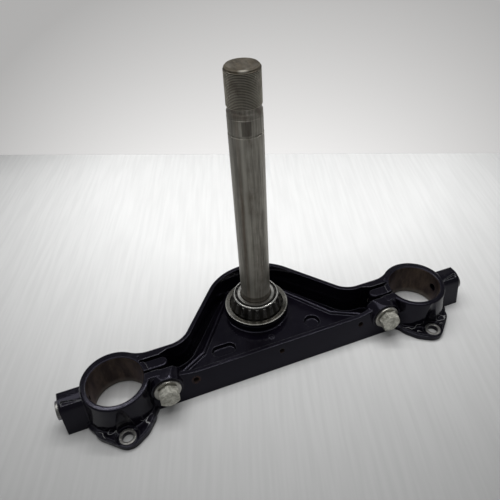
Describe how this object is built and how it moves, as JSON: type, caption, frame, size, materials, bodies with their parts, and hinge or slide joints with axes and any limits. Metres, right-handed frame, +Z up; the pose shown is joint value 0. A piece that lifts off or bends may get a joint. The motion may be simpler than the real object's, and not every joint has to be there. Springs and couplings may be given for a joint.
{
  "type": "motorcycle triple clamp",
  "caption": "Lower fork triple clamp: cast bracket with two slit fork clamps, front lugs and end bosses, pressed steering stem and tapered roller bearing.",
  "frame": {"origin": "on the steering stem's axis, at the flat underside of the bracket, on which the part rests", "axes": "+Z up along the stem, +X to the right fork clamp seen from the front, so -Y is the front, where the lugs and the bolt heads are"},
  "size_m": [0.342, 0.1206, 0.2228],
  "materials": {
    "casting": "gloss black paint over a cast bracket, bare metal on worn edges, pads and bores",
    "stem_steel": "bare turned steel, grey-brown with age, fine light rust",
    "shield_steel": "pressed steel sheet with stains",
    "race_steel": "ground bearing steel with a greasy film",
    "cage_steel": "pressed steel, dark with old grease",
    "roller_steel": "ground steel, dark with old grease",
    "bolt_zinc": "dull zinc plate with pitting",
    "washer_steel": "worn zinc plate with a bright rim"
  },
  "bodies": {
    "clamp": {"bracket": "casting", "stem": "stem_steel", "dust_shield": "shield_steel", "bearing_cone": "race_steel", "pinch_bolts": "bolt_zinc", "pinch_washers": "washer_steel"},
    "roller_set": {"bearing_cage": "cage_steel", "roller_01": "roller_steel", "roller_02": "roller_steel", "roller_03": "roller_steel", "roller_04": "roller_steel", "roller_05": "roller_steel", "roller_06": "roller_steel", "roller_07": "roller_steel", "roller_08": "roller_steel", "roller_09": "roller_steel", "roller_10": "roller_steel", "roller_11": "roller_steel", "roller_12": "roller_steel", "roller_13": "roller_steel", "roller_14": "roller_steel", "roller_15": "roller_steel", "roller_16": "roller_steel", "roller_17": "roller_steel", "roller_18": "roller_steel", "roller_19": "roller_steel", "roller_20": "roller_steel"}
  },
  "joints": [
    {"name": "bearing_spin", "type": "hinge", "parent": "clamp", "child": "roller_set", "pos_m": [0, 0, 0.02], "axis": [0, 0, 1], "continuous": true}
  ]
}
